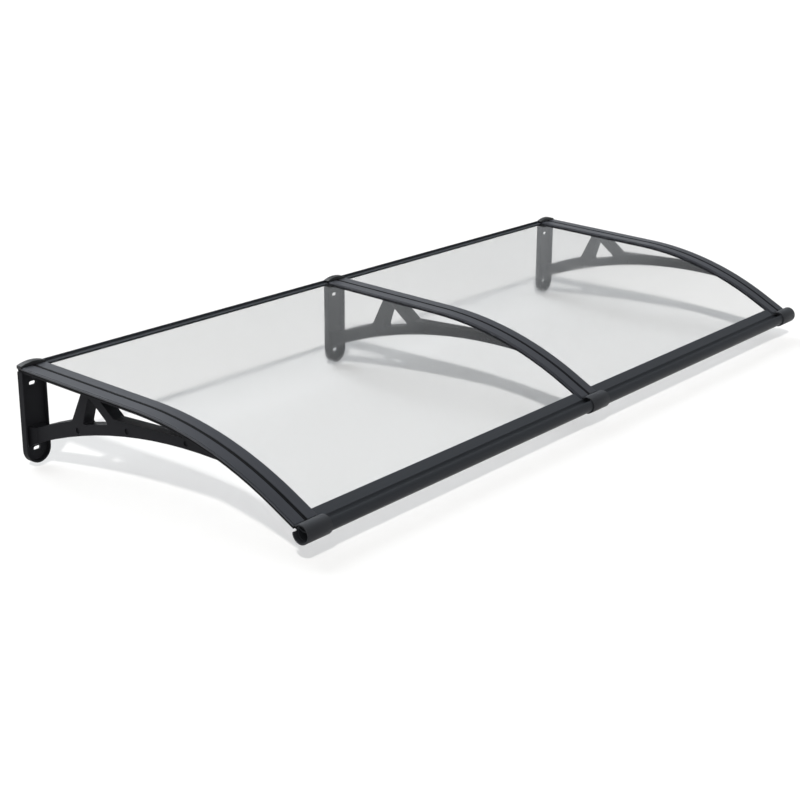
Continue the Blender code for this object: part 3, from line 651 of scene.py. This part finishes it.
# %% Cast powder coat
def cast_powder_coat(name, base, tint, shine, rounding):
    """A matt coat between two close colours, with round edges."""
    finish, output = new_finish(name)
    place = add_node(finish, "TexCoord").outputs["Object"]
    cloud = add_node(finish, "TexNoise", {"Vector": place, "Scale": 14.0, "Detail": 4.0})
    peel = add_node(finish, "TexNoise", {"Vector": place, "Scale": 650.0, "Detail": 2.0})
    blend = {0: cloud.outputs[0], 6: linear(base), 7: linear(tint)}
    colour = add_node(finish, "Mix", blend, data_type="RGBA")
    sheen = {"Value": cloud.outputs[0], 1: 0.3, 2: 0.7, 3: 0.42, 4: 0.56}
    rough = add_node(finish, "MapRange", sheen)
    corner = add_node(finish, "Bevel", {"Radius": rounding}, samples=4)
    bump = {"Height": peel.outputs[0], "Strength": 0.35, "Distance": 0.00006, "Normal": corner.outputs[0]}
    skin = add_node(finish, "Bump", bump)
    surface = {
        "Base Color": colour.outputs[2],
        "Roughness": rough.outputs[0],
        "Normal": skin.outputs[0],
        "Specular IOR Level": shine,
    }
    shader = add_node(finish, "BsdfPrincipled", surface)
    finish.node_tree.links.new(shader.outputs[0], output.inputs[0])
    return finish


bracket_black = cast_powder_coat("cast_powder_coat", "37373A", "3D3D40", 0.05, 0.0009)
clip_black = cast_powder_coat("clip_powder_coat", "4D4E51", "535457", 0.10, 0.0003)
for side in ("left", "centre", "right"):
    wear(nodes[f"bracket_{side}"], bracket_black)
    wear(rail_clips[side], clip_black)
print("powder coated pieces:", 2 * len(rail_clips))

# %% [markdown]
# ## Coated extrusions
#
# Strips and rails are extruded aluminium with a satin black coat. Under it faint die lines run the
# way the metal was pushed, so the pattern is stretched along the run on the strips and along X on
# the rails. It is drawn coarser than the real lines, 1.1 to 1.4 mm apart, so that it shows. The
# strips shine more than the rails: seen at a low angle, their flat rear end turns pale.

# %% Coated extrusion
def coated_extrusion(name, base, tint, stretch, shine):
    """A satin coat whose die lines are as many to the metre, along each axis, as the stretch says."""
    finish, output = new_finish(name)
    place = add_node(finish, "TexCoord").outputs["Object"]
    laid = add_node(finish, "Mapping", {"Vector": place, "Scale": stretch}).outputs[0]
    lines = add_node(finish, "TexNoise", {"Vector": laid, "Scale": 1.0, "Detail": 3.0})
    peel = add_node(finish, "TexNoise", {"Vector": place, "Scale": 900.0, "Detail": 2.0})
    cloud = add_node(finish, "TexNoise", {"Vector": place, "Scale": 9.0, "Detail": 3.0})
    blend = {0: lines.outputs[0], 6: linear(base), 7: linear(tint)}
    colour = add_node(finish, "Mix", blend, data_type="RGBA")
    both = add_node(finish, "Math", {0: cloud.outputs[0], 1: lines.outputs[0]}, operation="ADD")
    sheen = {"Value": both.outputs[0], 1: 0.7, 2: 1.3, 3: 0.30, 4: 0.42}
    rough = add_node(finish, "MapRange", sheen)
    orange_peel = {"Height": peel.outputs[0], "Strength": 0.2, "Distance": 0.00004}
    skin = add_node(finish, "Bump", orange_peel).outputs[0]
    die_lines = {"Height": lines.outputs[0], "Strength": 0.15, "Distance": 0.00005, "Normal": skin}
    drawn = add_node(finish, "Bump", die_lines)
    surface = {
        "Base Color": colour.outputs[2],
        "Roughness": rough.outputs[0],
        "Normal": drawn.outputs[0],
        "Specular IOR Level": shine,
    }
    shader = add_node(finish, "BsdfPrincipled", surface)
    finish.node_tree.links.new(shader.outputs[0], output.inputs[0])
    return finish


ALONG_ARCH = (900.0, 3.0, 3.0)
ALONG_WALL = (3.0, 700.0, 700.0)
strip_black = coated_extrusion("coated_strip", "48494F", "4E5056", ALONG_ARCH, 0.36)
rail_black = coated_extrusion("coated_rail", "4E5054", "54565A", ALONG_WALL, 0.05)
for side in ("left", "centre", "right"):
    wear(cover_strips[side], strip_black)
rails = front_rails + [nodes["rear_rail_left"], nodes["rear_rail_right"]]
for rail in rails:
    wear(rail, rail_black)
print("coated extrusions:", len(cover_strips) + len(rails))

# %% [markdown]
# ## Clear polycarbonate
#
# Real polycarbonate has an IOR of 1.58. Here it is set to 1.45, because the plain room mirrors more
# evenly than a real one and would whiten the sheets. The sheet is clear with a faint grey in it.
# Light from lamps would stop at a glass shader, so for shadow rays a Transparent shader stands in
# and lets most of it through to the floor. A ray goes through two faces, so the shade acts twice.

# %% Clear sheet
def clear_polycarbonate(name, tint, shade):
    """Clear sheet that takes its tint twice and keeps lamp light but for a shade."""
    finish, output = new_finish(name)
    place = add_node(finish, "TexCoord").outputs["Object"]
    haze = add_node(finish, "TexNoise", {"Vector": place, "Scale": 6.0, "Detail": 5.0, "Distortion": 0.6})
    rough = add_node(finish, "MapRange", {"Value": haze.outputs[0], 1: 0.35, 2: 0.75, 3: 0.02, 4: 0.06})
    surface = {
        "Base Color": linear(tint),
        "Roughness": rough.outputs[0],
        "IOR": 1.45,
        "Transmission Weight": 1.0,
    }
    shader = add_node(finish, "BsdfPrincipled", surface)
    passing = add_node(finish, "BsdfTransparent", {"Color": linear(shade)})
    lamp_ray = add_node(finish, "LightPath").outputs["Is Shadow Ray"]
    mixed = add_node(finish, "MixShader", {0: lamp_ray, 1: shader.outputs[0], 2: passing.outputs[0]})
    finish.node_tree.links.new(mixed.outputs[0], output.inputs[0])
    return finish


clear_finish = clear_polycarbonate("clear_polycarbonate", "F5F5F5", "FAFBFC")
for sheet in clear_sheets:
    wear(sheet, clear_finish)
print("clear sheets:", len(clear_sheets))

# %% [markdown]
# ## Rubber, moulded caps and screws
#
# The seals and groove inserts are EPDM rubber, dull and almost black. The caps are moulded ABS with
# a fine spark texture from the mould, 0.7 mm across and so coarser than the real one. The screws
# are zinc plated steel with faint turning marks.

# %% Small finishes
def dull_skin(name, base, tint, shine, grain, low, high):
    """A dull moulded or extruded surface with this many grains to the metre."""
    finish, output = new_finish(name)
    place = add_node(finish, "TexCoord").outputs["Object"]
    cloud = add_node(finish, "TexNoise", {"Vector": place, "Scale": 25.0, "Detail": 4.0})
    spark = add_node(finish, "TexNoise", {"Vector": place, "Scale": grain, "Detail": 3.0})
    blend = {0: cloud.outputs[0], 6: linear(base), 7: linear(tint)}
    colour = add_node(finish, "Mix", blend, data_type="RGBA")
    rough = add_node(finish, "MapRange", {"Value": spark.outputs[0], 1: 0.3, 2: 0.7, 3: low, 4: high})
    skin = add_node(finish, "Bump", {"Height": spark.outputs[0], "Strength": 0.3, "Distance": 0.00005})
    surface = {
        "Base Color": colour.outputs[2],
        "Roughness": rough.outputs[0],
        "Normal": skin.outputs[0],
        "Specular IOR Level": shine,
    }
    shader = add_node(finish, "BsdfPrincipled", surface)
    finish.node_tree.links.new(shader.outputs[0], output.inputs[0])
    return finish


def plated_steel(name, base):
    """Bright metal with turning marks about 1.2 mm apart."""
    finish, output = new_finish(name)
    place = add_node(finish, "TexCoord").outputs["Object"]
    marks = add_node(finish, "TexNoise", {"Vector": place, "Scale": 800.0, "Detail": 2.0})
    rough = add_node(finish, "MapRange", {"Value": marks.outputs[0], 1: 0.3, 2: 0.7, 3: 0.25, 4: 0.45})
    surface = {"Base Color": linear(base), "Metallic": 1.0, "Roughness": rough.outputs[0]}
    shader = add_node(finish, "BsdfPrincipled", surface)
    finish.node_tree.links.new(shader.outputs[0], output.inputs[0])
    return finish


rubber = dull_skin("epdm_rubber", "181819", "1E1E1F", 0.10, 900.0, 0.6, 0.8)
moulded = dull_skin("moulded_abs", "1E1F21", "242527", 0.40, 1400.0, 0.42, 0.56)
steel = plated_steel("zinc_plated_steel", "B4B6BA")
for name, node in nodes.items():
    if name.startswith(("edge_filler", "sheet_gasket", "strip_seal", "wall_seal")):
        wear(node, rubber)
    if "_screw_" in name:
        wear(node, steel)
for side in ("left", "centre", "right"):
    wear(groove_rubbers[side], rubber)
    wear(wall_caps[side], moulded)
print("finishes:", len(bpy.data.materials))

# %% [markdown]
# ## Rays that show the background
#
# A picture of this kind has a white ground, and more light on the canopy is the wrong way to get it.
# So the room and the floor look one way to the rays that end in the picture, straight, mirrored or
# through a sheet, and another way to the rays that carry light to the canopy. The Light Path node
# tells them apart.

# %% Helper for those rays
def shown_to_eye(finish):
    """An output that is 1 for what is seen directly, in a reflection or through a sheet."""
    ray = add_node(finish, "LightPath").outputs
    shown = ray["Is Camera Ray"]
    for kind in ("Is Glossy Ray", "Is Transmission Ray"):
        shown = add_node(finish, "Math", {0: shown, 1: ray[kind]}, operation="MAXIMUM").outputs[0]
    return shown


# %% [markdown]
# ## The room
#
# The canopy is lit by a wide soft light high behind it. That makes the flat rear of the strips light
# and their steep front dark, and leaves the gutter in shade. An area lamp would do, but it would
# show in the sheets as a hard patch, so the light is drawn on the world: a soft spot round one
# direction. The room itself is grey, a little lighter near the floor, so that the clear sheets
# mirror little and stay see-through. Low down it is shown white, as the floor is, so that no edge
# is seen between them from any side.

# %% Make the room
LIGHT_FROM = (0.05, 0.68, 0.73)
LIGHT_STRENGTH = 5.0
ROOM_TINT = (0.94, 0.975, 1.0, 1.0)
WHITE = 1.1

room = bpy.data.worlds.new("pale_room")
bpy.context.scene.world = room
room.use_nodes = True
direction = add_node(room, "TexCoord").outputs["Generated"]
height = add_node(room, "SeparateXYZ", {"Vector": direction}).outputs["Z"]
walls = add_node(room, "MapRange", {"Value": height, 1: 0.05, 2: 0.40, 3: 0.55, 4: 0.30}).outputs[0]
aimed = {0: direction, 1: LIGHT_FROM}
towards = add_node(room, "VectorMath", aimed, operation="DOT_PRODUCT").outputs["Value"]
edge = {"Value": towards, 1: 0.86, 2: 0.95, 3: 0.0, 4: LIGHT_STRENGTH}
softbox = add_node(room, "MapRange", edge, interpolation_type="SMOOTHSTEP").outputs[0]
lit = add_node(room, "Math", {0: walls, 1: softbox}).outputs[0]
low_down = add_node(room, "MapRange", {"Value": height, 1: 0.15, 2: 0.28, 3: WHITE, 4: 0.0}).outputs[0]
white = add_node(room, "Math", {0: shown_to_eye(room), 1: low_down}, operation="MULTIPLY").outputs[0]
level = add_node(room, "Math", {0: lit, 1: white}, operation="MAXIMUM").outputs[0]
background = room.node_tree.nodes["Background"]
background.inputs["Color"].default_value = ROOM_TINT
room.node_tree.links.new(level, background.inputs["Strength"])
print("room nodes:", len(room.node_tree.nodes))

# %% [markdown]
# ## The floor
#
# The floor is drawn whiter for the rays that show it than its own dull paint is, so that little
# light comes back from it to the undersides. Part of its look is paint, which takes the shadows, and
# part is a glow. Through a sheet the paint has the larger share, so the shadows are deeper there, as
# they are in the photograph.

# %% Make the floor
FLOOR_HEIGHT = -0.118
FLOOR_SIZE = 80
GLOW_SEEN = 0.46
GLOW_THROUGH_SHEET = 0.14

bpy.ops.object.select_all(action="DESELECT")
bpy.ops.mesh.primitive_plane_add(size=FLOOR_SIZE, location=(0.0, 0.0, FLOOR_HEIGHT))
floor = bpy.context.object
floor.name = "floor"
floor_finish, floor_output = new_finish("pale_floor")
paint = add_node(floor_finish, "BsdfDiffuse", {"Color": linear("C2C2C2")}).outputs[0]
glow = add_node(floor_finish, "Emission", {"Color": linear("FFFFFF"), "Strength": 1.15}).outputs[0]
through_sheet = add_node(floor_finish, "LightPath").outputs["Is Transmission Ray"]
shares = {"Value": through_sheet, 3: GLOW_SEEN, 4: GLOW_THROUGH_SHEET}
share = add_node(floor_finish, "MapRange", shares).outputs[0]
bright = add_node(floor_finish, "MixShader", {0: share, 1: paint, 2: glow}).outputs[0]
dull = add_node(floor_finish, "BsdfDiffuse", {"Color": linear("606062")}).outputs[0]
floor_shader = add_node(floor_finish, "MixShader", {0: shown_to_eye(floor_finish), 1: dull, 2: bright})
floor_finish.node_tree.links.new(floor_shader.outputs[0], floor_output.inputs[0])
floor.data.materials.append(floor_finish)
print("floor below the sheets' rear edge in mm:", round(1000 * (TOP_AT_WALL - FLOOR_HEIGHT)))

# %% [markdown]
# ## The lamp on the floor
#
# One distant lamp high on the left draws the shadows on the floor. It is linked to the floor alone,
# because the canopy in the photograph shows no hard light. Its angle of 4 degrees makes the shadows
# softer the farther they fall.

# %% Make the lamp
lamp = bpy.data.objects.new("high_left", bpy.data.lights.new("high_left", "SUN"))
lamp.data.energy = 4.4
lamp.data.angle = math.radians(4)
lamp.data.color = (1.0, 0.975, 0.94)
lamp.rotation_euler = Vector((0.80, 0.57, -1.0)).to_track_quat("-Z", "Y").to_euler()
bpy.context.scene.collection.objects.link(lamp)
lit_alone = bpy.data.collections.new("floor_only")
lit_alone.objects.link(floor)
lamp.light_linking.receiver_collection = lit_alone

# %% [markdown]
# ## Camera
#
# The lens and the direction were solved from the places of the three brackets. The camera stands in
# front of the canopy on its left and looks down on it by 18 degrees.

# %% Set up the camera
AZIMUTH = math.radians(-51.359)
ELEVATION = math.radians(18.181)
ROLL = math.radians(0.285)
STANDS_AT = (-3.0394, -2.6625, 1.1068)
LENS = 70.565
SENSOR = 36.0

camera = bpy.data.objects.new("camera", bpy.data.cameras.new("camera"))
bpy.context.scene.collection.objects.link(camera)
bpy.context.scene.camera = camera
camera.data.sensor_width = SENSOR
camera.data.lens = LENS
camera.location = STANDS_AT
flat = math.cos(ELEVATION)
back = Vector((math.sin(AZIMUTH) * flat, -math.cos(AZIMUTH) * flat, math.sin(ELEVATION)))
aim = back.to_track_quat("Z", "Y").to_matrix() @ Matrix.Rotation(ROLL, 3, "Z")
camera.rotation_euler = aim.to_euler()
bpy.context.scene.view_settings.view_transform = "Standard"
print("camera from the middle bracket in m:", round(camera.location.length, 2))

# %% [markdown]
# ## Finish
#
# The bending line is no part of the canopy and goes.

# %% Remove the bending line
bpy.data.objects.remove(bending_line)
